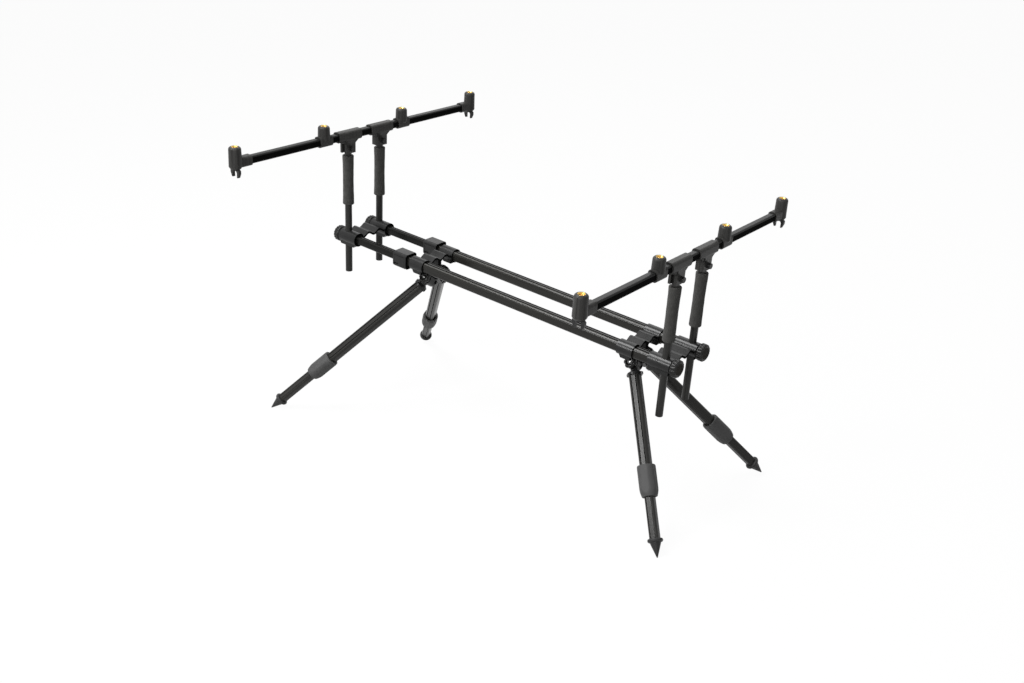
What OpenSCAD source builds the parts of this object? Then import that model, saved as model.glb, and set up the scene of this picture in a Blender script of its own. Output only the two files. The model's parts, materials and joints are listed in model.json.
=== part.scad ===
// Folding rod pod: two telescopic rails on four splayed legs, with a height-adjustable
// goalpost and a four-head buzz bar at each end.
// Millimetres. +X runs along the rails to the front end, +Y across, +Z up, floor at z = 0.

/* [Rails] */
// Distance between the two rail axes
rail_gap = 74; // [66:1:90]
// Outer rail width across its flats
rail_w = 17.2; // [16:0.2:19]
// Outer rail corner radius
rail_r = 5; // [4:0.5:6]
// Outer rail wall
rail_wall = 1.8; // [1.4:0.1:2.2]
// Length of each outer rail
rail_len = 531; // [480:1:640]
// Length of each inner rail
inner_len = 330; // [280:1:400]
// Inner rail length that shows between the clamp and the rear bracket
inner_shown = 96; // [60:1:140]
// Wall of the inner rails, leg tubes and buzz bars
thin_wall = 1.2; // [1:0.1:1.3]
// Radius of the grooves along the tubes' upper and lower faces
groove_r = 0.7; // [0.4:0.1:0.8]

/* [Brackets] */
// Diameter of a bracket's rail sleeve
sleeve_d = 24; // [23.5:0.5:28]
// Length of an end bracket's sleeve on the rail side of the upright
end_sleeve_in = 26; // [24:1:34]
// Length of an end bracket's sleeve on the knob side of the upright
end_sleeve_out = 13; // [11:1:18]
// Length of a leg bracket's sleeve
leg_sleeve_len = 29; // [26:1:46]
// Depth of the flat pad below each sleeve axis
pad_drop = 13.5; // [13:0.5:18]
// Thickness of the wavy web between two sleeves
web_t = 4; // [3:0.5:5]
// Height of the web's waves, crest to valley
web_wave = 6; // [3:0.5:8]
// Distance from the rail clamps to the rear leg bracket
rear_leg_gap = 6.5; // [4:0.5:10]
// Distance from the front leg bracket to the front end bracket
front_leg_gap = 28; // [22:1:60]

/* [Rail clamps] */
// Width and height of a clamp block
clamp_w = 26.6; // [26:0.2:30]
// Length of a clamp block
clamp_len = 30; // [28:1:40]
// Depth of the rail's socket in the clamp block
clamp_socket = 19; // [16:1:20]
// Thickness of the cam lever's plate
lever_t = 2.4; // [2:0.1:2.5]
// Radius of the cam lever's barrel
lever_barrel = 2.8; // [2.4:0.1:2.9]

/* [Legs] */
// Slope of the plane that a leg folds in, below level
leg_plane = 55.5; // [45:0.5:65]
// Angle of a rear leg from the rail in that plane
rear_spread = 57.5; // [45:0.5:70]
// Angle of a front leg from the rail in that plane
front_spread = 56.5; // [45:0.5:70]
// Distance of a leg pivot from the middle plane
hub_y = 15.5; // [15:0.5:18]
// Depth of a leg pivot below the rail axes
hub_drop = 33; // [31:1:48]
// Radius of the hinge discs
hub_r = 10; // [9:0.5:10.5]
// Thickness of the leg's hinge disc
hub_t = 12; // [10:0.5:13]
// Thickness of the bracket's hinge ear
ear_t = 6; // [5:0.5:7]
// Leg tube width across its flats
leg_w = 17.4; // [16:0.2:18]
// Leg tube corner radius
leg_r = 5; // [4:0.5:6]
// Distance from the pivot to the collar on a rear leg
rear_upper_len = 230; // [200:1:280]
// Distance from the pivot to the collar on a front leg
front_upper_len = 161; // [147:1:240]
// Length of a twist collar
collar_len = 48; // [42:1:56]
// Width of a twist collar across its flats
collar_w = 26.4; // [26:0.2:28]
// Diameter of a twist collar over its round corners
collar_d = 28.6; // [28.2:0.2:30]
// Length of a lower leg tube
lower_len = 176; // [160:1:180]
// Lower tube that shows between a rear leg's collar and its spike
rear_lower_shown = 74; // [40:1:78]
// Lower tube that shows between a front leg's collar and its spike
front_lower_shown = 62; // [40:1:78]
// Diameter of the spike's flange
flange_d = 24; // [20:0.5:26]
// Length of the spike from its flange to its point
spike_len = 28; // [20:1:40]
// Radius of the spike's point
tip_r = 1; // [0.6:0.1:1.5]

/* [Goalposts] */
// Diameter of an upright
post_d = 12; // [11:0.5:13]
// Height of the rear buzz bar's axis above the rails
rear_bar_z = 184; // [165:1:220]
// How much lower the front buzz bar stands
front_lower = 22; // [0:1:24]
// Length of an upright below the buzz bar's axis
post_len = 250; // [230:1:300]
// Length of a foam grip
grip_len = 88; // [70:1:94]
// Diameter of a foam grip at its ends
grip_d = 19.6; // [17:0.2:24]
// Distance from the buzz bar's axis to the top of a grip
grip_drop = 35; // [33:0.5:44]

/* [Buzz bars] */
// Distance between neighbouring rod heads
head_gap = 180; // [150:1:220]
// Buzz bar width, along the pod
bar_w = 12; // [10:0.5:13]
// Buzz bar height
bar_h = 13; // [11:0.5:14]
// Buzz bar corner radius
bar_r = 3; // [2:0.5:4]
// Height of the threaded inserts' tops above the buzz bar's axis
head_top = 26; // [22:1:34]
// Overall height of an end head
head_h = 35; // [33:1:46]
// Diameter of an end head
head_d = 20.8; // [20:0.2:24]
// Diameter of a threaded insert
insert_d = 10.6; // [10.2:0.2:10.8]
// Length of a threaded insert
insert_len = 16; // [12:1:18]
// Core diameter of the insert's 3/8 inch BSF thread
insert_core = 8.1; // [7.9:0.1:9.6]
// Length of a tee's sleeve along the buzz bar
tee_len = 50; // [40:1:52]
// Height of a tee's fork below its sleeve
fork_h = 21; // [16:0.5:22]

/* [Knobs] */
// Diameter of an end knob
end_knob_d = 28; // [24:0.5:32]
// Thickness of an end knob
end_knob_t = 12; // [9:0.5:15]
// Number of grip notches round an end knob
end_knob_notches = 16; // [8:1:16]
// Diameter of a leg knob
leg_knob_d = 22; // [18:0.5:23]
// Thickness of a leg knob
leg_knob_t = 9.5; // [7:0.5:11]
// Number of lobes of a leg knob
leg_knob_lobes = 7; // [5:1:9]
// Diameter of the knobs' studs
stud_d = 8; // [6:0.5:8.5]

/* [Clearances] */
// Gap between sliding tubes and their guides, each side
slide_gap = 0.3; // [0.25:0.05:0.4]
// Gap between an upright and its guide hole, each side
post_gap = 0.2; // [0.1:0.05:0.4]
// Gap between pieces that are fixed in each other, each side
seat_gap = 0.1; // [0.05:0.05:0.2]
// Gap between a turning face and its seat
turn_gap = 0.4; // [0.3:0.1:0.6]

/* [Hidden] */
$fn = 48;
ROOT2 = sqrt(2);
REAR = -1;
FRONT = 1;
NEAR = -1;
FAR = 1;
ENDS = [REAR, FRONT];
SIDES = [NEAR, FAR];
cut = 1;

function end_name(end) = end == REAR ? "rear" : "front";
function side_name(side) = side == NEAR ? "near" : "far";
function corner_name(end, side) = str(end_name(end), "_", side_name(side));

LEG_PIECES = ["knuckle", "upper_leg", "collar", "lower_leg", "spike", "leg_knob", "end_knob"];
POST_PIECES = ["bar", "posts", "grips", "tees", "screws", "end_heads", "end_inserts"];
HEAD_PIECES = ["head", "insert"];

// Colours
BLACK_ALLOY = [0.10, 0.10, 0.10];
BLACK_PLASTIC = [0.16, 0.16, 0.15];
DARK_RING = [0.07, 0.07, 0.07];
FOAM = [0.19, 0.19, 0.18];
BRASS = [0.85, 0.65, 0.20];
STEEL = [0.30, 0.30, 0.30];

// Rails, measured from the middle of the pod along the rails
rail_y = rail_gap / 2;
sleeve_r = sleeve_d / 2;
post_hole_r = post_d / 2 + post_gap;
post_wall = 3;
post_span = end_sleeve_in + inner_shown + clamp_len - clamp_socket + rail_len + post_wall + post_hole_r;
post_x = post_span / 2;
rail_end_x = post_x - post_hole_r - post_wall;
rail_start_x = rail_end_x - rail_len;
inner_w = rail_w - 2 * rail_wall - 2 * slide_gap;
inner_r = rail_r - rail_wall - slide_gap;
clamp_front_x = rail_start_x + clamp_socket;
clamp_back_x = clamp_front_x - clamp_len;
rear_post_x = -post_x;
inner_start_x = rear_post_x + post_hole_r + post_wall;
web_pitch = rail_gap / 3;
web_z = 5;
web_inset = 1;
pad_w = 18;

// Leg brackets and leg pivots
rear_leg_x = clamp_front_x + rear_leg_gap + leg_sleeve_len / 2;
front_leg_x = post_x - end_sleeve_in - front_leg_gap - leg_sleeve_len / 2;
keel_t = 8;
keel_len = 22;
function leg_x(end) = end == REAR ? rear_leg_x : front_leg_x;
function upper_len(end) = end == REAR ? rear_upper_len : front_upper_len;
function spread(end) = end == REAR ? rear_spread : front_spread;
function lower_shown(end) = end == REAR ? rear_lower_shown : front_lower_shown;

// Leg stations, measured from the pivot along the leg
neck_gap = 1;
cap_cone = 3.6;
cap_at = max(hub_r, leg_knob_d / 2) + neck_gap + cap_cone;
cap_t = 4;
cap_d = 23.4;
tube_at = cap_at + cap_t;
plug_len = 18;
collar_throat = 20;
tube_in_collar = collar_len - collar_throat;
flange_t = 5;
lower_w = leg_w - 2 * thin_wall - 2 * slide_gap;
lower_r = leg_r - thin_wall - slide_gap;
function half_diagonal(w, r) = (w / 2 - r) * ROOT2 + r;
function flange_at(end) = upper_len(end) + collar_len + lower_shown(end);
function tip_at(end) = flange_at(end) + spike_len - tip_r;

// Stance: the rails slope so that all four points stand on the floor
function tip_x(end) = leg_x(end) + end * tip_at(end) * cos(spread(end));
function tip_z(end) = -hub_drop - tip_at(end) * sin(spread(end)) * sin(leg_plane);
rail_slope = atan2(tip_z(FRONT) - tip_z(REAR), tip_x(FRONT) - tip_x(REAR));
function floor_x(end) = tip_x(end) * cos(rail_slope) + tip_z(end) * sin(rail_slope);
function floor_z(end) = -tip_x(end) * sin(rail_slope) + tip_z(end) * cos(rail_slope);
stand_x = -(floor_x(REAR) + floor_x(FRONT)) / 2;
stand_z = tip_r - floor_z(REAR);

// Goalposts
post_r = post_d / 2;
tee_wall = 2.4;
tee_w = bar_w + 2 * tee_wall;
tee_h = bar_h + 2 * tee_wall;
fork_w = 15;
fork_y = 21;
tongue_t = 6;
bolt_r = 2;
bolt_drop = tee_h / 2 + fork_h * 0.6;
bar_half = 1.5 * head_gap - 11;
wing_shank = [2.5, 10];
head_socket = 27;
head_half = 13;
head_wall = 2;
function bar_z(end) = end == REAR ? rear_bar_z : rear_bar_z - front_lower;

// Places the whole pod on the floor
module stand() {
    translate([stand_x, 0, stand_z])
        rotate([0, rail_slope, 0])
            children();
}

// Puts children on a leg bracket's hinge, with z along the pivot and out to the knob
module hinge_place(end, side) {
    translate([leg_x(end), side * hub_y, -hub_drop])
        rotate([-side * leg_plane, 0, 0])
            children();
}

// Puts children on a leg, with x from the pivot towards the foot
module leg_place(end, side) {
    hinge_place(end, side)
        rotate([0, 0, side * (end == FRONT ? spread(end) : 180 - spread(end))])
            children();
}

// Puts children on the axis of a rail, with x outwards along the pod
module rail_place(end, side) {
    translate([end * post_x, side * rail_y, 0])
        mirror([end == REAR ? 1 : 0, 0, 0])
            children();
}

// Puts children on the middle of a buzz bar
module bar_place(end) {
    translate([end * post_x, 0, bar_z(end)])
        children();
}

// Turns an outline so that it is carried along x
module along_x(len) {
    rotate([90, 0, 90])
        linear_extrude(len)
            children();
}

// Turns an outline so that it is carried along y, centred
module along_y(len) {
    rotate([90, 0, 0])
        linear_extrude(len, center = true)
            children();
}

// Rectangle with round corners
module round_rect(w, h, r) {
    square([w, h - 2 * r], center = true);
    square([w - 2 * r, h], center = true);
    for (x = [-1, 1], y = [-1, 1])
        translate([x * (w / 2 - r), y * (h / 2 - r)])
            circle(r);
}

// Square tube section with round corners and a groove where each corner meets the upper or lower face
module tube_section(w, r, wall, groove) {
    difference() {
        round_rect(w, w, r);
        round_rect(w - 2 * wall, w - 2 * wall, r - wall);
        for (x = [-1, 1], y = [-1, 1])
            translate([x * (w / 2 - r), y * w / 2])
                circle(groove);
    }
}

// Web outline across the pod: an even wave with a crest at each sleeve
module web_section() {
    function wave(y) = web_z - web_wave / 2 * cos(360 * y / web_pitch);
    step = web_pitch / 8;
    half = [for (i = [-10 : 10]) i * step];
    polygon(concat(
        [for (y = half) [y, wave(y) + web_t / 2]],
        [for (i = [10 : -1 : -10]) [i * step, wave(i * step) - web_t / 2]]
    ));
}

// Flat pad below a sleeve, cut back at its inner end
module sleeve_pad(from, to, lead) {
    rotate([90, 0, 0])
        linear_extrude(pad_w, center = true)
            polygon([
                [from, -pad_drop / 2],
                [from + lead, -pad_drop],
                [to, -pad_drop],
                [to, -pad_drop / 2]
            ]);
}

// Rails

module outer_rails() {
    color(BLACK_ALLOY)
        stand()
            for (side = SIDES)
                translate([rail_start_x, side * rail_y, 0])
                    along_x(rail_len)
                        tube_section(rail_w, rail_r, rail_wall, groove_r);
}

module inner_rails() {
    color(BLACK_ALLOY)
        stand()
            for (side = SIDES)
                translate([inner_start_x, side * rail_y, 0])
                    along_x(inner_len)
                        tube_section(inner_w, inner_r, thin_wall, groove_r / 2);
}

// End brackets

module end_bracket_body() {
    for (side = SIDES) {
        translate([-end_sleeve_in, side * rail_y, 0])
            rotate([0, 90, 0])
                cylinder(r = sleeve_r, h = end_sleeve_in + end_sleeve_out);
        translate([0, side * rail_y, 0])
            sleeve_pad(-end_sleeve_in, end_sleeve_out - 2, 5);
    }
    translate([-end_sleeve_in + web_inset, 0, 0])
        along_x(end_sleeve_in + end_sleeve_out - 2 * web_inset)
            web_section();
}

module end_bracket_holes(socket_w, socket_r, mouth_w, mouth_r, mouth_depth) {
    stud_hole_r = stud_d / 2 + seat_gap;
    for (side = SIDES)
        translate([0, side * rail_y, 0]) {
            translate([-end_sleeve_in - cut, 0, 0])
                along_x(end_sleeve_in + cut - post_hole_r - post_wall)
                    round_rect(socket_w, socket_w, socket_r);
            translate([-end_sleeve_in - cut, 0, 0])
                along_x(mouth_depth + cut)
                    round_rect(mouth_w, mouth_w, mouth_r);
            cylinder(r = post_hole_r, h = 4 * sleeve_d, center = true);
            rotate([0, 90, 0])
                cylinder(r = stud_hole_r, h = end_sleeve_out + cut);
        }
}

module rear_bracket() {
    color(BLACK_PLASTIC)
        stand()
            translate([rear_post_x, 0, 0])
                mirror([1, 0, 0])
                    difference() {
                        end_bracket_body();
                        end_bracket_holes(
                            inner_w + 2 * seat_gap, inner_r + seat_gap,
                            rail_w, rail_r, 5
                        );
                    }
}

module front_bracket() {
    color(BLACK_PLASTIC)
        stand()
            translate([post_x, 0, 0])
                difference() {
                    end_bracket_body();
                    end_bracket_holes(
                        rail_w + 2 * seat_gap, rail_r + seat_gap,
                        rail_w + 2 * seat_gap, rail_r + seat_gap, 5
                    );
                }
}

// Rail clamps with their cam levers on the near faces

lever_y = clamp_w / 2 - lever_barrel - 0.4;
lever_z = -lever_y;
lever_len = clamp_len - 7;
lever_top = 8;
lever_window = [9, 4.5];
clamp_r = 5;
lever_pin_r = 1.4;
lever_pin_len = 2.6;

module clamp_place(side) {
    translate([(clamp_front_x + clamp_back_x) / 2, side * rail_y, 0])
        children();
}

module clamp_block() {
    room = lever_len + 2 * slide_gap;
    difference() {
        translate([-clamp_len / 2, 0, 0])
            along_x(clamp_len)
                round_rect(clamp_w, clamp_w, clamp_r);
        translate([clamp_len / 2 - clamp_socket, 0, 0])
            along_x(clamp_socket + cut)
                round_rect(rail_w + 2 * seat_gap, rail_w + 2 * seat_gap, rail_r + seat_gap);
        translate([-clamp_len / 2 - cut, 0, 0])
            along_x(clamp_len)
                round_rect(inner_w + 2 * slide_gap, inner_w + 2 * slide_gap, inner_r + slide_gap);
        translate([-room / 2, -clamp_w / 2 - cut, lever_z])
            cube([room, lever_t + slide_gap + cut, lever_top - lever_z + slide_gap]);
        translate([-room / 2, -lever_y, lever_z])
            rotate([0, 90, 0])
                cylinder(r = lever_barrel + slide_gap, h = room);
        translate([-room / 2, -clamp_w / 2 - cut, lever_z - clamp_w])
            cube([room, clamp_w / 2 + cut - lever_y + lever_barrel + slide_gap, clamp_w]);
        translate([-room / 2 - lever_pin_len - slide_gap, -lever_y, lever_z])
            rotate([0, 90, 0])
                cylinder(r = lever_pin_r + seat_gap, h = room + 2 * lever_pin_len + 2 * slide_gap);
    }
}

module rail_clamps() {
    color(BLACK_PLASTIC)
        stand()
            for (side = SIDES)
                clamp_place(side)
                    clamp_block();
}

module cam_lever(side) {
    color(BLACK_PLASTIC)
        stand()
            clamp_place(side) {
                translate([-lever_len / 2, -lever_y, lever_z])
                    rotate([0, 90, 0])
                        cylinder(r = lever_barrel, h = lever_len);
                translate([-lever_len / 2 - lever_pin_len, -lever_y, lever_z])
                    rotate([0, 90, 0])
                        cylinder(r = lever_pin_r, h = lever_len + 2 * lever_pin_len);
                difference() {
                    translate([-lever_len / 2, -clamp_w / 2, lever_z])
                        cube([lever_len, lever_t, lever_top - lever_z - slide_gap]);
                    translate([-lever_len / 2 - cut, -clamp_w / 2 - cut, lever_z - cut])
                        cube([lever_window[0] + cut, lever_t + 2 * cut, lever_window[1] + cut]);
                }
            }
}

// Leg brackets

module leg_bracket(end) {
    lead = 4;
    color(BLACK_PLASTIC)
        stand()
            difference() {
                union() {
                    translate([leg_x(end), 0, 0]) {
                        for (side = SIDES) {
                            translate([-leg_sleeve_len / 2, side * rail_y, 0])
                                rotate([0, 90, 0])
                                    cylinder(r = sleeve_r, h = leg_sleeve_len);
                            translate([0, side * rail_y, 0])
                                sleeve_pad(-leg_sleeve_len / 2 + lead, leg_sleeve_len / 2 - lead, lead);
                        }
                        translate([-leg_sleeve_len / 2 + web_inset, 0, 0])
                            along_x(leg_sleeve_len - 2 * web_inset)
                                web_section();
                        translate([-keel_len / 2, -keel_t / 2, -hub_drop])
                            cube([keel_len, keel_t, hub_drop + web_z - web_wave / 2]);
                    }
                    for (side = SIDES)
                        hinge_place(end, side)
                            translate([0, 0, -hub_t / 2 - turn_gap - ear_t])
                                cylinder(r = hub_r, h = ear_t);
                }
                for (side = SIDES) {
                    translate([leg_x(end) - leg_sleeve_len, side * rail_y, 0])
                        along_x(2 * leg_sleeve_len)
                            round_rect(rail_w + 2 * slide_gap, rail_w + 2 * slide_gap, rail_r + slide_gap);
                    hinge_place(end, side) {
                        translate([0, 0, -hub_t / 2 - turn_gap - ear_t - cut])
                            cylinder(r = stud_d / 2 + seat_gap, h = ear_t + 2 * cut);
                        translate([0, 0, -hub_t / 2 - turn_gap])
                            cylinder(r = hub_r + 1, h = hub_t + 2 * turn_gap);
                    }
                }
            }
}

// Legs, built along x from the pivot

module knuckle(end, side) {
    lug = [cap_t, 2.6, 5];
    color(BLACK_PLASTIC)
        stand()
            leg_place(end, side)
                difference() {
                    union() {
                        cylinder(r = hub_r, h = hub_t, center = true);
                        rotate([0, 90, 0])
                            cylinder(r = hub_t / 2, h = cap_at + 1);
                        translate([cap_at - cap_cone, 0, 0])
                            rotate([0, 90, 0])
                                cylinder(r1 = hub_t / 2, r2 = cap_d / 2, h = cap_cone);
                        translate([cap_at, 0, 0])
                            rotate([0, 90, 0])
                                cylinder(d = cap_d, h = cap_t);
                        for (y = [-1, 1])
                            translate([cap_at + cap_t / 2, y * cap_d / 2, 0])
                                cube(lug, center = true);
                        translate([tube_at, 0, 0])
                            along_x(plug_len)
                                round_rect(
                                    leg_w - 2 * thin_wall - 2 * seat_gap,
                                    leg_w - 2 * thin_wall - 2 * seat_gap,
                                    leg_r - thin_wall - seat_gap
                                );
                    }
                    cylinder(r = stud_d / 2 + seat_gap, h = 2 * hub_t, center = true);
                }
}

module upper_leg(end, side) {
    color(BLACK_ALLOY)
        stand()
            leg_place(end, side)
                translate([tube_at, 0, 0])
                    along_x(upper_len(end) + tube_in_collar - tube_at)
                        tube_section(leg_w, leg_r, thin_wall, groove_r);
}

module collar(end, side) {
    mouth_r = half_diagonal(leg_w, leg_r) + slide_gap;
    throat_r = half_diagonal(lower_w, lower_r) + slide_gap;
    big = collar_d / 2;
    small = throat_r + 1.6;
    color(BLACK_PLASTIC)
        stand()
            leg_place(end, side)
                translate([upper_len(end), 0, 0])
                    rotate([0, 90, 0])
                        intersection() {
                            rotate_extrude()
                                polygon([
                                    [mouth_r, 0],
                                    [big - 0.8, 0],
                                    [big, 1.2],
                                    [big, collar_len - 8],
                                    [small, collar_len],
                                    [throat_r, collar_len],
                                    [throat_r, tube_in_collar + 1],
                                    [mouth_r, tube_in_collar + 1]
                                ]);
                            translate([-collar_w / 2, -collar_w / 2, -cut])
                                cube([collar_w, collar_w, collar_len + 2 * cut]);
                        }
}

module lower_leg(end, side) {
    color(BLACK_ALLOY)
        stand()
            leg_place(end, side)
                translate([flange_at(end) - lower_len, 0, 0])
                    along_x(lower_len)
                        tube_section(lower_w, lower_r, thin_wall, groove_r / 2);
}

module spike(end, side) {
    plug_r = lower_w / 2 - thin_wall - seat_gap;
    base_r = 8.6;
    rim = 1.6;
    color(DARK_RING)
        stand()
            leg_place(end, side)
                translate([flange_at(end), 0, 0])
                    rotate([0, 90, 0]) {
                        rotate_extrude()
                            polygon([
                                [0, 0],
                                [flange_d / 2 - rim, 0],
                                [flange_d / 2, rim],
                                [flange_d / 2, flange_t - rim],
                                [flange_d / 2 - rim, flange_t],
                                [base_r, flange_t],
                                [tip_r, spike_len - tip_r],
                                [0, spike_len - tip_r]
                            ]);
                        translate([0, 0, spike_len - tip_r])
                            sphere(tip_r);
                        translate([0, 0, -plug_len])
                            cylinder(r = plug_r, h = plug_len + cut);
                    }
}

// Knobs

// Turned knob on a stud, with its face outwards along z and notches in its rim
module knob(d, t, notches, notch_r, dish, stud_len) {
    foot = 2;
    edge = 1.5;
    rim = 4;
    dish_r = d / 2 - rim - 1;
    notch_out = 0.55;
    notch_from = 0.32;
    difference() {
        rotate_extrude()
            polygon([
                [0, 0],
                [d / 2 - foot, 0],
                [d / 2, foot],
                [d / 2, t - edge],
                [d / 2 - edge, t],
                [d / 2 - rim, t],
                [dish_r, t - dish],
                [0, t - dish]
            ]);
        for (i = [0 : notches - 1])
            rotate([0, 0, 360 * i / notches])
                translate([d / 2 + notch_r * notch_out, 0, t * notch_from])
                    cylinder(r = notch_r, h = t);
    }
    translate([0, 0, -stud_len])
        cylinder(d = stud_d, h = stud_len + cut);
}

module end_knob(end, side) {
    reach = end_sleeve_out + turn_gap - post_r - post_gap - turn_gap;
    color(BLACK_PLASTIC)
        stand()
            rail_place(end, side)
                translate([end_sleeve_out + turn_gap, 0, 0])
                    rotate([0, 90, 0])
                        knob(end_knob_d, end_knob_t, end_knob_notches, 2, 1, reach);
}

module leg_knob(end, side) {
    color(BLACK_PLASTIC)
        stand()
            leg_place(end, side)
                translate([0, 0, hub_t / 2 + turn_gap])
                    knob(leg_knob_d, leg_knob_t, leg_knob_lobes, 3.2, 2.5, hub_t + 2 * turn_gap + ear_t);
}

// Goalposts

module buzz_bar(end) {
    color(BLACK_ALLOY)
        stand()
            bar_place(end)
                along_y(2 * bar_half)
                    difference() {
                        round_rect(bar_w, bar_h, bar_r);
                        round_rect(bar_w - 2 * thin_wall, bar_h - 2 * thin_wall, bar_r - thin_wall);
                    }
}

module posts(end) {
    top = -tee_h / 2 - fork_h - turn_gap;
    color(BLACK_ALLOY)
        stand()
            bar_place(end)
                for (side = SIDES)
                    translate([0, side * rail_y, 0])
                        difference() {
                            union() {
                                translate([0, 0, -post_len])
                                    cylinder(r = post_r, h = post_len + top);
                                translate([-tongue_t / 2, -post_r + 0.5, top - 1])
                                    cube([tongue_t, post_d - 1, fork_h]);
                            }
                            translate([0, 0, -post_len - cut])
                                cylinder(r = post_r - thin_wall, h = post_len + top - 8);
                            translate([0, 0, -bolt_drop])
                                rotate([0, 90, 0])
                                    cylinder(r = bolt_r + seat_gap, h = post_d, center = true);
                        }
}

module grips(end) {
    end_r = grip_d / 2;
    waist_r = end_r - 0.7;
    round = 2;
    color(FOAM)
        stand()
            bar_place(end)
                for (side = SIDES)
                    translate([0, side * rail_y, -grip_drop - grip_len])
                        rotate_extrude()
                            polygon([
                                [post_r + seat_gap, 0],
                                [end_r - round, 0],
                                [end_r, round],
                                [waist_r, grip_len / 2],
                                [end_r, grip_len - round / 2],
                                [end_r - round / 2, grip_len],
                                [post_r + seat_gap, grip_len]
                            ]);
}

module tee(side) {
    slot = tongue_t + 2 * slide_gap;
    wall = 3;
    fork_top = -tee_h / 2;
    difference() {
        union() {
            along_y(tee_len)
                round_rect(tee_w, tee_h, bar_r + tee_wall);
            translate([-fork_w / 2, -fork_y / 2, fork_top - fork_h])
                cube([fork_w, fork_y, fork_h + tee_h / 4]);
            rotate([90, 0, 90])
                linear_extrude(fork_w - 2, center = true)
                    polygon([
                        [-tee_len / 2 + 4, fork_top + bar_r],
                        [-fork_y / 2, fork_top - 5],
                        [fork_y / 2, fork_top - 5],
                        [tee_len / 2 - 4, fork_top + bar_r]
                    ]);
        }
        along_y(tee_len + 2 * cut)
            round_rect(bar_w + 2 * seat_gap, bar_h + 2 * seat_gap, bar_r + seat_gap);
        translate([-slot / 2, side > 0 ? -fork_y / 2 + wall : -fork_y / 2 - cut, fork_top - fork_h - cut])
            cube([slot, fork_y - wall + cut, fork_h + cut - 0.4]);
        translate([0, 0, -bolt_drop])
            rotate([0, 90, 0])
                cylinder(r = bolt_r + seat_gap, h = 2 * fork_w, center = true);
    }
}

module tees(end) {
    color(BLACK_PLASTIC)
        stand()
            bar_place(end)
                for (side = SIDES)
                    translate([0, side * rail_y, 0])
                        tee(side);
}

// Tee bolt along x with a round grip head, and its nut on the other side
module tee_bolt() {
    head = [4.4, 6];
    nut = [3.8, 3];
    translate([-fork_w / 2 - nut[1], 0, 0])
        rotate([0, 90, 0])
            cylinder(r = bolt_r, h = fork_w + nut[1] + 1);
    translate([fork_w / 2, 0, 0])
        rotate([0, 90, 0])
            cylinder(r = head[0], h = head[1]);
    translate([-fork_w / 2 - nut[1], 0, 0])
        rotate([0, 90, 0])
            cylinder(r = nut[0], h = nut[1], $fn = 6);
}

// Wing screw under an end head: a shank, a disc and two claws that point down
module wing_screw() {
    disc = [6, 2.5];
    half = 10;
    tall = 14;
    thick = 4.5;
    slot = 4.8;
    top = -0.6;
    cylinder(r = wing_shank[0], h = wing_shank[1]);
    translate([0, 0, -disc[1]])
        cylinder(r = disc[0], h = disc[1]);
    along_y(thick)
        difference() {
            polygon([
                [-half + 2, top],
                [half - 2, top],
                [half, top - 2],
                [half, -tall / 2],
                [half - 3, -tall],
                [-half + 3, -tall],
                [-half, -tall / 2],
                [-half, top - 2]
            ]);
            translate([0, -disc[1] - slot])
                circle(slot);
            translate([-slot, -tall - cut])
                square([2 * slot, tall + cut - disc[1] - slot]);
        }
}

module screws(end) {
    color(STEEL)
        stand()
            bar_place(end)
                for (side = SIDES) {
                    translate([0, side * rail_y, -bolt_drop])
                        tee_bolt();
                    translate([0, side * 1.5 * head_gap, head_top - head_h])
                        wing_screw();
                }
}

// Rod heads

// Barrel of a rod head, turned about z, from z = low up to the insert's top
module barrel(low) {
    low_r = head_d / 2;
    top_r = low_r - 0.6;
    round = 4.2;
    foot = [2, 3];
    rotate_extrude()
        polygon([
            [0, low],
            [low_r - foot[0], low],
            [low_r, low + foot[1]],
            [top_r, head_top - round],
            for (a = [15 : 15 : 75]) [
                top_r - round + round * cos(a),
                head_top - round + round * sin(a)
            ],
            [top_r - round, head_top],
            [0, head_top]
        ]);
}

module insert_pocket() {
    translate([0, 0, head_top - insert_len])
        cylinder(d = insert_d + 2 * seat_gap, h = insert_len + cut);
}

module bar_sleeve(from, to, wall) {
    translate([0, (from + to) / 2, 0])
        along_y(to - from)
            round_rect(bar_w + 2 * wall, bar_h + 2 * wall, bar_r + wall);
}

module end_heads(end) {
    out = 1.5 * head_gap;
    color(BLACK_PLASTIC)
        stand()
            bar_place(end)
                for (side = SIDES)
                    translate([0, side * out, 0])
                        mirror([0, side > 0 ? 1 : 0, 0])
                            difference() {
                                union() {
                                    barrel(head_top - head_h);
                                    bar_sleeve(0, head_socket, head_wall);
                                }
                                insert_pocket();
                                translate([0, out - bar_half + head_socket, 0])
                                    along_y(2 * head_socket)
                                        round_rect(
                                            bar_w + 2 * seat_gap, bar_h + 2 * seat_gap, bar_r + seat_gap
                                        );
                                translate([0, 0, head_top - head_h - cut])
                                    cylinder(r = wing_shank[0] + seat_gap, h = wing_shank[1] + 2 * cut);
                            }
}

module insert_at(y) {
    translate([0, y, head_top - insert_len])
        difference() {
            cylinder(d = insert_d, h = insert_len);
            translate([0, 0, 2])
                cylinder(d = insert_core, h = insert_len);
        }
}

module end_inserts(end) {
    color(BRASS)
        stand()
            bar_place(end)
                for (side = SIDES)
                    insert_at(side * 1.5 * head_gap);
}

module head(end, side) {
    color(BLACK_PLASTIC)
        stand()
            bar_place(end)
                translate([0, side * head_gap / 2, 0])
                    difference() {
                        union() {
                            bar_sleeve(-head_half, head_half, head_wall + slide_gap);
                            barrel(0);
                        }
                        insert_pocket();
                        along_y(4 * head_half)
                            round_rect(
                                bar_w + 2 * slide_gap, bar_h + 2 * slide_gap, bar_r + slide_gap
                            );
                    }
}

module insert(end, side) {
    color(BRASS)
        stand()
            bar_place(end)
                insert_at(side * head_gap / 2);
}

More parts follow.
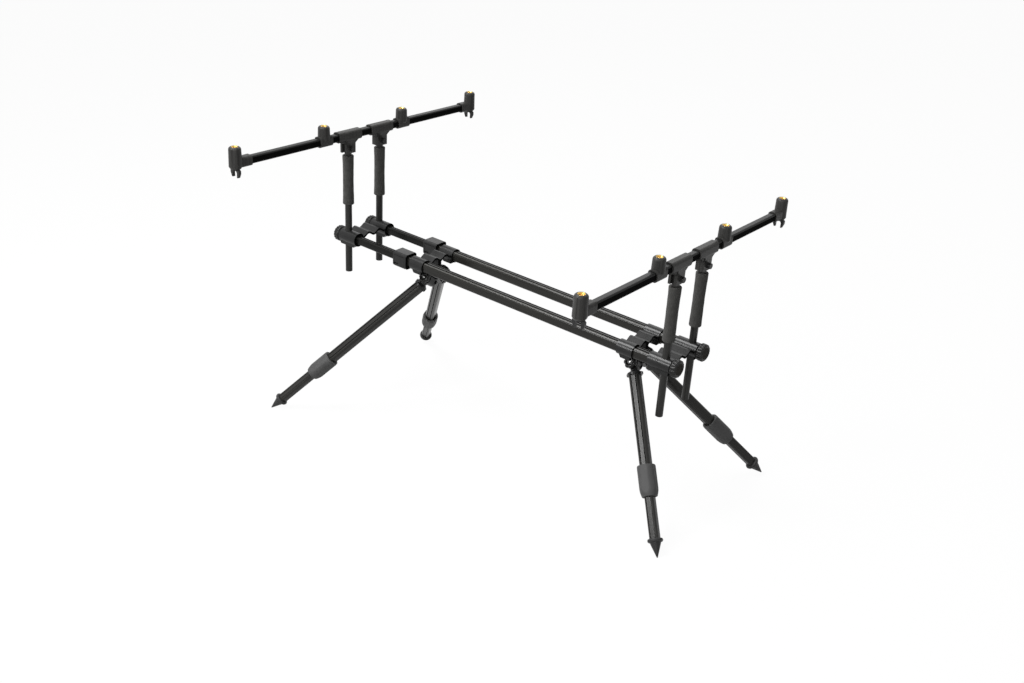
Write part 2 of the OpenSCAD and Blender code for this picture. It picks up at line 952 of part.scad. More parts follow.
// One line for each node
outer_rails();
inner_rails();
rear_bracket();
front_bracket();
rail_clamps();
cam_lever(NEAR);  // near_cam_lever
cam_lever(FAR);  // far_cam_lever
leg_bracket(REAR);  // rear_leg_bracket
leg_bracket(FRONT);  // front_leg_bracket
for (end = ENDS, side = SIDES) {
    name = corner_name(end, side);
    knuckle(end, side);
    upper_leg(end, side);
    collar(end, side);
    lower_leg(end, side);
    spike(end, side);
    leg_knob(end, side);
    end_knob(end, side);
    head(end, side);
    insert(end, side);
}
for (end = ENDS) {
    name = end_name(end);
    buzz_bar(end);
    posts(end);
    grips(end);
    tees(end);
    screws(end);
    end_heads(end);
    end_inserts(end);
}
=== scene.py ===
"""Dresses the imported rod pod: moulded brackets, anodised tubes, foam grips, knobs and brass inserts."""

import json
import logging
import math
from dataclasses import dataclass
from enum import Enum
from typing import Dict, List, Optional, Sequence, Tuple

import bmesh
import bpy
import numpy as np
from bpy.types import ID, Material, Mesh, Node, NodeTree, Object
from mathutils import Matrix, Vector


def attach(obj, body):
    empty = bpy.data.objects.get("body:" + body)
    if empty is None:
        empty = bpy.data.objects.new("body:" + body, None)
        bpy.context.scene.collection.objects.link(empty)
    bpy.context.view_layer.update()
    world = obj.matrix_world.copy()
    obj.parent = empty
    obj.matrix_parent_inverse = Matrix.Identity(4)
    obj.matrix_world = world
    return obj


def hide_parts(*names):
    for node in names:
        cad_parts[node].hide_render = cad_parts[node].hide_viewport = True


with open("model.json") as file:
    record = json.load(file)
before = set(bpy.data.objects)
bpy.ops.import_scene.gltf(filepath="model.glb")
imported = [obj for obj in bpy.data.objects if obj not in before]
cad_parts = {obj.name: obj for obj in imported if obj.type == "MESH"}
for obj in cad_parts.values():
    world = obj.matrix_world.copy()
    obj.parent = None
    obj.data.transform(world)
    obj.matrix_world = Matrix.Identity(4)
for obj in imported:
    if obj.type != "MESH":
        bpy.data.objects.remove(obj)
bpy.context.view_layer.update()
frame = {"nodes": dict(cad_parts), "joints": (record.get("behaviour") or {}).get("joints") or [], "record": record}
LOG = logging.getLogger("rod_pod")
MM = 0.001
TURN = 2 * math.pi
Sheet = Tuple[np.ndarray, bool, bool]
Pair = Tuple[float, float]
Triple = Tuple[float, float, float]

# Limits for meshes, in metres, degrees and shares
MERGE_M = 1e-6
CAD_MERGE_M = 2e-6
SLIVER_M = 1e-7
FLAT_DEG = 0.6
SHARP_DEG = 38.0
TUBE_SHARP_DEG = 30.0
FOAM_SHARP_DEG = 60.0
END_FACING = 0.96
SIDE_SHARE = 0.49

# Sizes that several classes share, in millimetres
MOULDED_EDGE = 0.5
GROOVE_R = 0.7
GROOVE_DEPTHS = (0.12, 0.85)
LARGE_CORNER = 5.0

# Noise: the span of values that a finish uses, and the stretch of streaks along a tube
NOISE_SPAN = (0.3, 0.7)
STREAK_STRETCH = 0.02

# Lookups in the frame
JOINTS: Dict[str, dict] = {joint["name"]: joint for joint in frame["joints"]}
BODY_OF: Dict[str, str] = {
    node: body for body, nodes in frame["record"]["behaviour"]["bodies"].items() for node in nodes
}


class End(Enum):
    """The two ends of the pod."""

    REAR = "rear"
    FRONT = "front"


class Side(Enum):
    """The two long sides of the pod."""

    NEAR = "near"
    FAR = "far"

    @property
    def sign(self) -> int:
        """-1 on the near side, +1 on the far side."""
        return -1 if self is Side.NEAR else 1


CORNERS: List[Tuple[End, Side]] = [(end, side) for end in End for side in Side]


def corner_name(end: End, side: Side) -> str:
    """Name of one corner of the pod, as the CAD nodes have it."""
    return f"{end.value}_{side.value}"


@dataclass(frozen=True)
class Place:
    """A local frame in the world: its origin in metres, and its x, y and z axes as the rows of axes."""

    origin: np.ndarray
    axes: np.ndarray

    def world(self, local_mm: np.ndarray) -> np.ndarray:
        """Takes points from this frame, in millimetres, to the world in metres.

        Args:
            local_mm: Array whose last axis holds x, y and z.

        Returns:
            Array of the same shape.
        """
        return self.origin + (local_mm * MM) @ self.axes

    def span(self, node: str) -> Tuple[np.ndarray, np.ndarray]:
        """Lowest and highest corner of a CAD node in this frame.

        Args:
            node: Name of the CAD node.

        Returns:
            Two arrays of x, y and z in millimetres.
        """
        mesh = frame["nodes"][node].data
        flat = np.empty(len(mesh.vertices) * 3, np.float32)
        mesh.vertices.foreach_get("co", flat)
        local = (flat.reshape(-1, 3) - self.origin) @ self.axes.T / MM
        return local.min(0), local.max(0)

    def moved(self, local_mm: Sequence[float]) -> "Place":
        """The same frame with its origin moved by a local step in millimetres."""
        return Place(self.world(np.asarray(local_mm, float)), self.axes)

    def turned(self, rows: Sequence[Sequence[float]]) -> "Place":
        """The same origin with new axes, given as rows in this frame."""
        return Place(self.origin, np.asarray(rows, float) @ self.axes)


def axis_of(joint: str) -> np.ndarray:
    """Unit axis of a joint of the frame."""
    axis = np.asarray(JOINTS[joint]["axis"], float)
    return axis / np.linalg.norm(axis)


def point_of(joint: str) -> np.ndarray:
    """Point on the axis of a hinge of the frame, in metres."""
    return np.asarray(JOINTS[joint]["pos_m"], float)


def pod_place() -> Place:
    """Frame of the rails: x along them to the front, z square to them, origin in the middle of the pod."""
    along = -axis_of("rail_extension")
    upward = axis_of("rear_goalpost_height")
    corners = [point_of(f"{corner_name(*corner)}_post_knob_turn") for corner in CORNERS]
    return Place(np.mean(corners, axis=0), np.stack([along, np.cross(upward, along), upward]))


POD = pod_place()
UPRIGHT = POD.turned(((0, 0, 1), (0, 1, 0), (-1, 0, 0)))
X_UP = ((0, 1, 0), (0, 0, 1), (1, 0, 0))
X_DOWN = ((0, -1, 0), (0, 0, 1), (-1, 0, 0))


def leg_place(end: End, side: Side) -> Place:
    """Frame of a leg: x from the pivot to the foot, z along the pivot to the knob."""
    name = corner_name(end, side)
    along = axis_of(f"{name}_leg_extension")
    pivot = axis_of(f"{name}_hinge_knob_turn")
    return Place(point_of(f"{name}_leg_fold"), np.stack([along, np.cross(pivot, along), pivot]))


# Finishes


def wire(tree: NodeTree, *links: Tuple[object, object]) -> None:
    """Joins output sockets to input sockets, given as pairs."""
    for source, target in links:
        tree.links.new(source, target)


def set_inputs(node: Node, values: Dict[str, object]) -> None:
    """Sets input sockets of a node by their names."""
    for label, value in values.items():
        node.inputs[label].default_value = value


def new_group(name: str, inputs: Sequence[str], outputs: Sequence[str]) -> Tuple[NodeTree, ...]:
    """Makes an empty shader node group with a vector input and number sockets.

    Args:
        name: Name of the group.
        inputs: Names of its number inputs.
        outputs: Names of its outputs.

    Returns:
        The group with its input and output nodes.
    """
    group = bpy.data.node_groups.new(name, "ShaderNodeTree")
    group.interface.new_socket("Vector", in_out="INPUT", socket_type="NodeSocketVector")
    for label in inputs:
        group.interface.new_socket(label, in_out="INPUT", socket_type="NodeSocketFloat")
    for label in outputs:
        group.interface.new_socket(label, in_out="OUTPUT", socket_type="NodeSocketFloat")
    return group, group.nodes.new("NodeGroupInput"), group.nodes.new("NodeGroupOutput")


class SurfaceGroups:
    """Shader node groups that several finishes share, each built once."""

    def __init__(self) -> None:
        """Builds both groups."""
        self.streak = self._streak()
        self.grain = self._grain()

    @staticmethod
    def _streak() -> NodeTree:
        """Drawn-tube streaks: noise stretched along x, with inputs Vector and Fine and output Streak."""
        group, source, sink = new_group("drawn_streaks", ["Fine"], ["Streak"])
        stretch = group.nodes.new("ShaderNodeMapping")
        set_inputs(stretch, {"Scale": (STREAK_STRETCH, 1.0, 1.0)})
        noise = group.nodes.new("ShaderNodeTexNoise")
        set_inputs(noise, {"Detail": 1.0})
        wire(group,
             (source.outputs["Vector"], stretch.inputs["Vector"]),
             (stretch.outputs["Vector"], noise.inputs["Vector"]),
             (source.outputs["Fine"], noise.inputs["Scale"]), (noise.outputs["Fac"], sink.inputs["Streak"]))
        return group

    @staticmethod
    def _grain() -> NodeTree:
        """Moulded grain: fine even noise, Grain, for the bump, and a slow Cloud for the tone."""
        group, source, sink = new_group("moulded_grain", ["Fine", "Slow"], ["Grain", "Cloud"])
        for label, detail, out in (("Fine", 2.0, "Grain"), ("Slow", 3.0, "Cloud")):
            noise = group.nodes.new("ShaderNodeTexNoise")
            set_inputs(noise, {"Detail": detail})
            wire(group,
                 (source.outputs["Vector"], noise.inputs["Vector"]),
                 (source.outputs[label], noise.inputs["Scale"]), (noise.outputs["Fac"], sink.inputs[out]))
        return group


def ramp_node(tree: NodeTree, low: Triple, high: Triple, span: Pair) -> object:
    """Adds a colour ramp from low to high, which stand at the two places of the span."""
    ramp = tree.nodes.new("ShaderNodeValToRGB")
    for stop, colour, place in zip(ramp.color_ramp.elements, (low, high), span):
        stop.color = (*colour, 1.0)
        stop.position = place
    return ramp


def range_node(tree: NodeTree, low: float, high: float) -> object:
    """Adds a node that maps the span of the noise onto low to high."""
    node = tree.nodes.new("ShaderNodeMapRange")
    set_inputs(node, {"From Min": NOISE_SPAN[0], "From Max": NOISE_SPAN[1], "To Min": low, "To Max": high})
    return node


@dataclass(frozen=True)
class Finish:
    """A surface finish: two tones, a span of roughness, and the grain or streaks that move between them.

    Fine and slow are noise scales per metre; streaks have no slow one. Bump depth is in metres.
    """

    name: str
    dark: Triple
    light: Triple
    rough: Pair
    metallic: float = 0.0
    streaked: bool = False
    fine: float = 1800.0
    slow: float = 45.0
    bump: float = 0.1
    bump_depth: float = 0.0002
    sheen: float = 0.0
    specular: float = 0.5

    def material(self, groups: SurfaceGroups, place: Optional[Place], key: str) -> Material:
        """Builds the finish as a material.

        Args:
            groups: The shared shader groups.
            place: Frame whose x axis the streaks follow, or None for the world's.
            key: Ending for the material's name.

        Returns:
            The material.
        """
        made = bpy.data.materials.new(self.name + key)
        made.use_nodes = True
        tree = made.node_tree
        shader = tree.nodes["Principled BSDF"]
        set_inputs(shader, {
            "Metallic": self.metallic, "Sheen Weight": self.sheen, "Specular IOR Level": self.specular,
        })
        coords = tree.nodes.new("ShaderNodeTexCoord")
        turn = tree.nodes.new("ShaderNodeMapping")
        if place is not None:
            set_inputs(turn, {"Rotation": Matrix([list(row) for row in place.axes]).to_euler()})
        pattern = tree.nodes.new("ShaderNodeGroup")
        pattern.node_tree = groups.streak if self.streaked else groups.grain
        set_inputs(pattern, {"Fine": self.fine} if self.streaked else {"Fine": self.fine, "Slow": self.slow})
        fine = pattern.outputs["Streak" if self.streaked else "Grain"]
        tone = fine if self.streaked else pattern.outputs["Cloud"]
        ramp = ramp_node(tree, self.dark, self.light, NOISE_SPAN)
        rough = range_node(tree, *self.rough)
        bump = tree.nodes.new("ShaderNodeBump")
        set_inputs(bump, {"Strength": self.bump, "Distance": self.bump_depth})
        wire(tree,
             (coords.outputs["Object"], turn.inputs["Vector"]),
             (turn.outputs["Vector"], pattern.inputs["Vector"]),
             (tone, ramp.inputs["Fac"]), (ramp.outputs["Color"], shader.inputs["Base Color"]),
             (tone, rough.inputs["Value"]), (rough.outputs["Result"], shader.inputs["Roughness"]),
             (fine, bump.inputs["Height"]), (bump.outputs["Normal"], shader.inputs["Normal"]))
        return made


RAIL_ALLOY = Finish("black_anodised_rail", (0.0135, 0.0131, 0.0118), (0.0190, 0.0184, 0.0166), (0.18, 0.24),
                    streaked=True, fine=460.0, bump=0.015, bump_depth=0.0003, specular=0.16)
# Lighter finish for the rails' corner lines: a painted highlight
RAIL_HIGHLIGHT = Finish("black_anodised_rail_painted_highlight", (0.050, 0.0490, 0.0455), (0.066, 0.0648, 0.0602), (0.24, 0.30),
                   streaked=True, fine=460.0, bump=0.004, bump_depth=0.0003, specular=0.22)
INNER_ALLOY = Finish("black_anodised_inner_rail", (0.005, 0.005, 0.0047), (0.009, 0.009, 0.0083),
                     (0.22, 0.29), streaked=True, fine=420.0, bump=0.02, bump_depth=0.0003, specular=0.10)
LEG_ALLOY = Finish("black_anodised_leg", (0.019, 0.0186, 0.0176), (0.028, 0.0275, 0.0257), (0.22, 0.30),
                   streaked=True, fine=460.0, bump=0.02, bump_depth=0.0003, specular=0.14)
BAR_ALLOY = Finish("black_anodised_bar", (0.008, 0.008, 0.0078), (0.013, 0.013, 0.0125), (0.24, 0.34),
                   streaked=True, fine=700.0, bump=0.02, bump_depth=0.0003, specular=0.12)
ROUND_ALLOY = Finish("black_anodised_upright", (0.017, 0.0168, 0.0158), (0.025, 0.0247, 0.0232), (0.20, 0.28),
                     streaked=True, fine=900.0, bump=0.03, specular=0.18)
PLASTIC = Finish("moulded_black", (0.009, 0.009, 0.009), (0.014, 0.014, 0.014), (0.27, 0.33), bump=0.02,
                 specular=0.22)
HEAD_PLASTIC = Finish("moulded_black_head", (0.022, 0.0216, 0.0206), (0.042, 0.0413, 0.0394), (0.30, 0.44),
                      streaked=True, fine=330.0, bump=0.05, bump_depth=0.0004, specular=0.14)
COLLAR_PLASTIC = Finish("collar_black", (0.052, 0.052, 0.052), (0.068, 0.068, 0.068), (0.50, 0.62), bump=0.12,
                        specular=0.18)
KNOB_PLASTIC = Finish("knob_black", (0.006, 0.006, 0.0057), (0.010, 0.010, 0.0094), (0.20, 0.26), bump=0.03,
                      specular=0.22)
KNOB_FACE = Finish("knob_face_black", (0.016, 0.0146, 0.0128), (0.025, 0.0226, 0.0198), (0.55, 0.70),
                   bump=0.08, specular=0.05)
SPIKE_PLASTIC = Finish("spike_black", (0.024, 0.024, 0.024), (0.036, 0.036, 0.036), (0.36, 0.48), bump=0.1,
                       specular=0.16)
# Near-black painted shade: on end faces turned away from the lamps, in tube grooves and on strips beside them
PAINTED_SHADE_BLACK = Finish("painted_shade_black_end", (0.003, 0.003, 0.003), (0.005, 0.005, 0.005), (0.80, 0.90), bump=0.06,
                    specular=0.02)
FOAM_FINISH = Finish("grip_foam", (0.046, 0.0454, 0.0432), (0.062, 0.0612, 0.0584), (0.86, 0.96), fine=1300.0,
                     slow=160.0, bump=0.5, bump_depth=0.0006, sheen=0.08, specular=0.10)
BRASS_FINISH = Finish("turned_brass", (0.62, 0.40, 0.10), (0.80, 0.56, 0.18), (0.20, 0.34), metallic=1.0,
                      fine=2600.0, slow=220.0, bump=0.05)
STEEL_FINISH = Finish("blackened_steel", (0.012, 0.012, 0.012), (0.020, 0.020, 0.020), (0.28, 0.40),
                      fine=2200.0, slow=200.0, bump=0.06, specular=0.22)
BRIGHT_STEEL = Finish("bright_stud_steel", (0.26, 0.26, 0.255), (0.36, 0.36, 0.355), (0.26, 0.36),
                      metallic=1.0, fine=2200.0, slow=200.0, bump=0.04)


# Pieces


def face_vectors(mesh: Mesh, field: str) -> np.ndarray:
    """The center or normal of each face of a mesh, as rows of x, y and z."""
    flat = np.empty(len(mesh.polygons) * 3, np.float32)
    mesh.polygons.foreach_get(field, flat)
    return flat.reshape(-1, 3)


def set_face_materials(mesh: Mesh, indices: np.ndarray) -> None:
    """Sets the number of the material of each face."""
    mesh.polygons.foreach_set("material_index", indices.astype(np.int32))
    mesh.update()


def linked(name: str, data: ID) -> Object:
    """Makes an object for its data and links it to the scene."""
    made = bpy.data.objects.new(name, data)
    bpy.context.scene.collection.objects.link(made)
    return made


def shaded(name: str, mesh: Mesh, sharp_deg: float) -> Object:
    """Shades a mesh smooth, but for its sharp edges, and links an object for it."""
    mesh.shade_smooth()
    mesh.set_sharp_from_angle(angle=math.radians(sharp_deg))
    return linked(name, mesh)


class Workshop:
    """Makes meshes into pieces of the object, with their finish and body."""

    def __init__(self) -> None:
        """Builds the shared shader groups."""
        self.groups = SurfaceGroups()
        self.cache: Dict[str, Material] = {}

    def finish(self, finish: Finish, place: Optional[Place] = None, key: str = "") -> Material:
        """The material of a finish, built on first use.

        Args:
            finish: The finish.
            place: Frame that its streaks follow.
            key: Ending that tells apart materials of one finish.

        Returns:
            The material.
        """
        label = finish.name + key
        if label not in self.cache:
            self.cache[label] = finish.material(self.groups, place, key)
        return self.cache[label]

    @staticmethod
    def surface(name: str, sheets: Sequence[Sheet], sharp_deg: float = SHARP_DEG) -> Object:
        """Makes one mesh object out of grids of points.

        Args:
            name: Name of the piece.
            sheets: For each grid its points of shape (rows, columns, 3) in metres, and whether the rows
                and the columns close on themselves. A row whose points coincide is a pole.
            sharp_deg: Edges that turn more than this stay sharp.

        Returns:
            The object, at the origin.
        """
        points, quads, start = [], [], 0
        for grid, close_rows, close_columns in sheets:
            rows, columns = grid.shape[:2]
            index = np.arange(rows * columns).reshape(rows, columns) + start
            if close_rows:
                index = np.concatenate([index, index[:1]], 0)
            if close_columns:
                index = np.concatenate([index, index[:, :1]], 1)
            loops = np.stack([index[:-1, :-1], index[:-1, 1:], index[1:, 1:], index[1:, :-1]], -1)
            quads.append(loops.reshape(-1, 4))
            points.append(grid.reshape(-1, 3))
            start += rows * columns
        mesh = bpy.data.meshes.new(name)
        mesh.from_pydata(np.concatenate(points).tolist(), [], np.concatenate(quads).tolist())
        work = bmesh.new()
        work.from_mesh(mesh)
        bmesh.ops.remove_doubles(work, verts=work.verts, dist=MERGE_M)
        bmesh.ops.dissolve_degenerate(work, edges=work.edges, dist=SLIVER_M)
        bmesh.ops.recalc_face_normals(work, faces=work.faces)
        work.to_mesh(mesh)
        work.free()
        return shaded(name, mesh, sharp_deg)

    def softened(self, node: str, material: Material, edge_mm: float = MOULDED_EDGE,
                 sharp_deg: float = SHARP_DEG) -> Object:
        """Copies a CAD node, joins its loose triangles, rounds its edges and fits it in the node's place.

        Args:
            node: Name of the CAD node.
            material: Material of the piece.
            edge_mm: Width of the rounded edges in millimetres, or 0 for none.
            sharp_deg: Edges that turn more than this are rounded.

        Returns:
            The piece, at the origin.
        """
        mesh = frame["nodes"][node].data.copy()
        mesh.name = f"{node}_piece"
        mesh.materials.clear()
        for layer in list(mesh.attributes):
            if layer.name in ("custom_normal", "sharp_edge", "sharp_face"):
                mesh.attributes.remove(layer)
        work = bmesh.new()
        work.from_mesh(mesh)
        bmesh.ops.remove_doubles(work, verts=work.verts, dist=CAD_MERGE_M)
        bmesh.ops.dissolve_limit(work, angle_limit=math.radians(FLAT_DEG), verts=work.verts, edges=work.edges)
        work.to_mesh(mesh)
        work.free()
        made = shaded(f"{node}_piece", mesh, sharp_deg)
        if edge_mm > 0:
            bevel = made.modifiers.new("rounded_edges", "BEVEL")
            bevel.width = edge_mm * MM
            bevel.segments = 2
            bevel.limit_method = "ANGLE"
            bevel.angle_limit = math.radians(sharp_deg)
            bevel.harden_normals = True
        return self.fit(made, node, material)

    def skin(self, node: str, ending: str, grid: np.ndarray, finish: Finish, ring: bool = False,
             replace: bool = True) -> Object:
        """Makes a piece out of one turned grid and fits it on a CAD node.

        Args:
            node: Name of the CAD node.
            ending: Ending of the piece's name.
            grid: Points in metres, whose columns close on themselves.
            finish: Its finish.
            ring: Whether the rows close on themselves too.
            replace: Whether the piece stands for the node.

        Returns:
            The piece.
        """
        piece = self.surface(f"{node}_{ending}", [(grid, ring, True)])
        return self.fit(piece, node, self.finish(finish), replace)

    def finish_end_faces(self, piece: Object, finish: Finish = PAINTED_SHADE_BLACK) -> None:
        """Gives the faces that look along the rails, either way, another finish, by default a near-black painted
        shade for end faces turned away from the lamps.

        Args:
            piece: A fitted piece.
            finish: The finish of the ends, by default the painted shade.
        """
        mesh = piece.data
        facing = np.abs(face_vectors(mesh, "normal") @ POD.axes[0]) > END_FACING
        mesh.materials.append(self.finish(finish))
        set_face_materials(mesh, facing)

    def shade_grooves(self, piece: Object, tube: "TubeSection") -> None:
        """Gives the faces of a tube's outer grooves a near-black painted shade, where shade falls in the grooves.

        Args:
            piece: A fitted piece made of straight tubes of one section.
            tube: Their section.
        """
        mesh = piece.data
        depth = tube.depth(face_vectors(mesh, "center"))
        mesh.materials.append(self.finish(PAINTED_SHADE_BLACK))
        set_face_materials(mesh, (depth > GROOVE_DEPTHS[0]) & (depth < GROOVE_DEPTHS[1]))

    def line_rails(self, piece: Object, tube: "TubeSection", lines: "RailLines", edge: Material) -> None:
        """Draws the rails' lines: painted shade in the grooves and on a strip beside each, and a painted highlight
        on each corner.

        Args:
            piece: The fitted rails.
            tube: Their section.
            lines: Where the lines run.
            edge: Material of the painted highlight lines.
        """
        self.shade_grooves(piece, tube)
        mesh = piece.data
        tube.score(mesh, lines.shade_strip)
        mesh.materials.append(edge)
        centres = face_vectors(mesh, "center")
        outside = tube.depth(centres) < GROOVE_DEPTHS[0]
        across, upward = tube.beyond(centres).T
        indices = np.empty(len(mesh.polygons), np.int32)
        mesh.polygons.foreach_get("material_index", indices)
        # Painted shade on the strip beside each groove
        indices[outside & (across < 0) & (across > -GROOVE_R - lines.shade_strip)] = 1
        # Painted highlight on the corner faces that tilt upward
        on_corner = (np.minimum(across, upward) > lines.corner_margin) & (upward > lines.edge_slope * across)
        indices[outside & on_corner] = 2
        set_face_materials(mesh, indices)

    @staticmethod
    def fit(piece: Object, node: str, material: Material, replace: bool = True) -> Object:
        """Gives a piece its finish and sets it on the body of a CAD node.

        Args:
            piece: The piece.
            node: The CAD node that it stands for or sits on.
            material: Its material.
            replace: Whether the piece stands for the node.

        Returns:
            The piece.
        """
        piece.data.materials.clear()
        piece.data.materials.append(material)
        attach(piece, BODY_OF[node])
        if replace:
            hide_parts(node)
        LOG.info("%s on %s", piece.name, BODY_OF[node])
        return piece


# Surfaces


def angles(count: int) -> np.ndarray:
    """Evenly spaced angles round a full turn, without the last."""
    return np.arange(count) * TURN / count


def turned_grid(profile: np.ndarray, count: int, swell: Optional[np.ndarray] = None) -> np.ndarray:
    """Turns a profile of radius and height round z: each point is (r cos t, r sin t, z).

    Args:
        profile: Rows of radius and height in millimetres.
        count: Number of points round the turn.
        swell: Radii added at each profile point and angle, or None.

    Returns:
        Grid of points of shape (rows, count, 3).
    """
    turn = angles(count)
    radius = profile[:, :1] + (0.0 if swell is None else swell)
    radius = np.broadcast_to(radius, (len(profile), count))
    height = np.broadcast_to(profile[:, 1:], (len(profile), count))
    return np.stack([radius * np.cos(turn), radius * np.sin(turn), height], -1)


def rounded_profile(corners: Sequence[Triple], steps: int = 5) -> np.ndarray:
    """Rounds the corners of an open outline, each with a quadratic curve between two points on its sides.

    Args:
        corners: Radius, height and rounding distance of each corner in millimetres.
        steps: Points on each rounded corner.

    Returns:
        Rows of radius and height.
    """
    places = np.array([corner[:2] for corner in corners], float)
    rows: List[np.ndarray] = [places[:1]]
    blend = np.linspace(0.0, 1.0, steps)[:, None]
    for before, here, after, corner in zip(places[:-2], places[1:-1], places[2:], corners[1:-1]):
        back, ahead = before - here, after - here
        reach = min(corner[2], SIDE_SHARE * np.linalg.norm(back), SIDE_SHARE * np.linalg.norm(ahead))
        if reach <= 0:
            rows.append(here[None])
            continue
        first = here + back / np.linalg.norm(back) * reach
        last = here + ahead / np.linalg.norm(ahead) * reach
        rows.append((1 - blend) ** 2 * first + 2 * blend * (1 - blend) * here + blend ** 2 * last)
    rows.append(places[-1:])
    return np.concatenate(rows)


def resampled(profile: np.ndarray, step: float) -> np.ndarray:
    """Adds points to an outline so that no two are further apart than a step along it.

    Args:
        profile: Rows of radius and height.
        step: Largest distance in millimetres.

    Returns:
        Rows of radius and height, the old points among them.
    """
    lengths = np.hypot(*np.diff(profile, axis=0).T)
    along = np.concatenate([[0.0], np.cumsum(lengths)])
    marks = np.union1d(along, np.arange(0.0, along[-1], step))
    return np.stack([np.interp(marks, along, profile[:, k]) for k in (0, 1)], 1)


def soft_min(first: np.ndarray, second: np.ndarray, blend: float) -> np.ndarray:
    """The lesser of two values, with a smooth change over the blend width."""
    mix = np.clip(0.5 + 0.5 * (second - first) / blend, 0.0, 1.0)
    return second * (1 - mix) + first * mix - blend * mix * (1 - mix)


@dataclass(frozen=True)
class TubeSection:
    """Section of straight square tubes along x of a frame: one on the axis, or two set apart along y."""

    place: Place
    middle: Pair
    spread: float
    width: float
    corner: float

    @staticmethod
    def of_node(place: Place, node: str, corner: float) -> "TubeSection":
        """Reads the section off a CAD node.

        Args:
            place: Frame with x along the tubes.
            node: Name of the CAD node.
            corner: Radius of the tubes' corners in millimetres.

        Returns:
            The section.
        """
        low, high = place.span(node)
        width = float(high[2] - low[2])
        spread = float(high[1] - low[1] - width) / 2
        middle = (float(low[1] + high[1]) / 2, float(low[2] + high[2]) / 2)
        return TubeSection(place, middle, spread, width, corner)

    def depth(self, points: np.ndarray) -> np.ndarray:
        """How far points lie inside the outline: minus the distance to a square with rounded corners.

        Args:
            points: Rows of x, y and z in metres.

        Returns:
            One depth in millimetres for each point.
        """
        offset = self.beyond(points)
        return self.corner - np.linalg.norm(np.maximum(offset, 0), axis=1) - np.minimum(offset.max(1), 0)

    def beyond(self, points: np.ndarray) -> np.ndarray:
        """How far points lie across and up beyond the centre of the nearest round corner.

        Args:
            points: Rows of x, y and z in metres.

        Returns:
            Rows of two distances in millimetres, below 0 towards the tube's middle.
        """
        local = (points - self.place.origin) @ self.place.axes.T / MM
        across = np.abs(np.abs(local[:, 1] - self.middle[0]) - self.spread)
        return np.stack([across, np.abs(local[:, 2] - self.middle[1])], 1) - (self.width / 2 - self.corner)

    def score(self, mesh: Mesh, shade_strip: float) -> None:
        """Cuts the upper and lower faces along lines beside their grooves, which bound strips of painted shade.

        Args:
            mesh: Mesh of the tubes.
            shade_strip: Distance of the lines from the grooves in millimetres; the strip between gets painted
                shade.
        """
        work = bmesh.new()
        work.from_mesh(mesh)
        reach = self.width / 2 - self.corner - GROOVE_R - shade_strip
        for tube_side in (-1, 1):
            for line_side in (-1, 1):
                across = self.middle[0] + tube_side * self.spread + line_side * reach
                point = self.place.origin + self.place.axes[1] * across * MM
                bmesh.ops.bisect_plane(
                    work, geom=work.verts[:] + work.edges[:] + work.faces[:], dist=SLIVER_M,
                    plane_co=Vector(point), plane_no=Vector(self.place.axes[1]))
        work.to_mesh(mesh)
        work.free()


# Sub-assemblies


@dataclass(frozen=True)
class RailLines:
    """Lines along the rails: the width of the strip of painted shade beside a groove, and where a corner's painted
    highlight lies.
    """

    shade_strip: float = 1.6
    corner_margin: float = 0.1
    edge_slope: float = 1.4


@dataclass
class Rails:
    """The outer and inner rails, with their clamps and cam levers."""

    inner_corner: float = 2.9

    def dress(self, shop: Workshop) -> None:
        """Gives the tubes a drawn finish along the pod, and the clamps rounded edges."""
        # Second finish of each tube: a painted highlight on its corners; the inner rails take the outer rails'
        # lighter finish for it
        for node, finish, edge, corner in (("outer_rails", RAIL_ALLOY, RAIL_HIGHLIGHT, LARGE_CORNER),
                                           ("inner_rails", INNER_ALLOY, RAIL_ALLOY, self.inner_corner)):
            tubes = shop.softened(node, shop.finish(finish, POD), 0.0, TUBE_SHARP_DEG)
            section = TubeSection.of_node(POD, node, corner)
            shop.line_rails(tubes, section, RailLines(), shop.finish(edge, POD))
        plastic = shop.finish(PLASTIC)
        # Painted shade on the clamps' end faces
        shop.finish_end_faces(shop.softened("rail_clamps", plastic))
        for side in Side:
            shop.softened(f"{side.value}_cam_lever", plastic)


class Brackets:
    """The end brackets and the sliding leg brackets."""

    def dress(self, shop: Workshop) -> None:
        """Rounds the brackets' moulded edges and paints shade on their end faces."""
        plastic = shop.finish(PLASTIC)
        for end in End:
            for kind in ("bracket", "leg_bracket"):
                # Painted shade on the brackets' end faces
                shop.finish_end_faces(shop.softened(f"{end.value}_{kind}", plastic))


@dataclass(frozen=True)
class CollarSizes:
    """Twist collar, in millimetres; mouth and throat are a share of the tube's half width and a gap."""

    mouth: Pair = (1.18, 0.3)
    throat: Pair = (1.2, 0.4)
    round_share: float = 1.083
    square_power: float = 6.0
    rim: float = 1.4
    rim_step: float = 0.3
    lead: float = 4.0
    taper: float = 9.0
    foot_wall: float = 2.6
    stop_gap: float = 1.0
    blend: float = 0.5
    row_step: float = 0.8
    columns: int = 96


@dataclass(frozen=True)
class SpikeSizes:
    """Spike, in millimetres."""

    plug_r: float = 5.6
    flange_top: float = 4.6
    cone_r: float = 8.3
    cone_start: float = 6.5
    tip_r: float = 1.0
    columns: int = 64


@dataclass(frozen=True)
class HingeKnobSizes:
    """Lobed hinge knob and the bright end of its stud, in millimetres."""

    lobes: int = 7
    lobe_depth: float = 1.5
    lobe_power: float = 1.6
    lobe_reach: float = 4.0
    base: float = 6.4
    dish: float = 2.5
    dish_rim: float = 5.0
    stud_r: float = 4.0
    stud_end_r: float = 2.2
    columns: int = 112
    stud_columns: int = 32


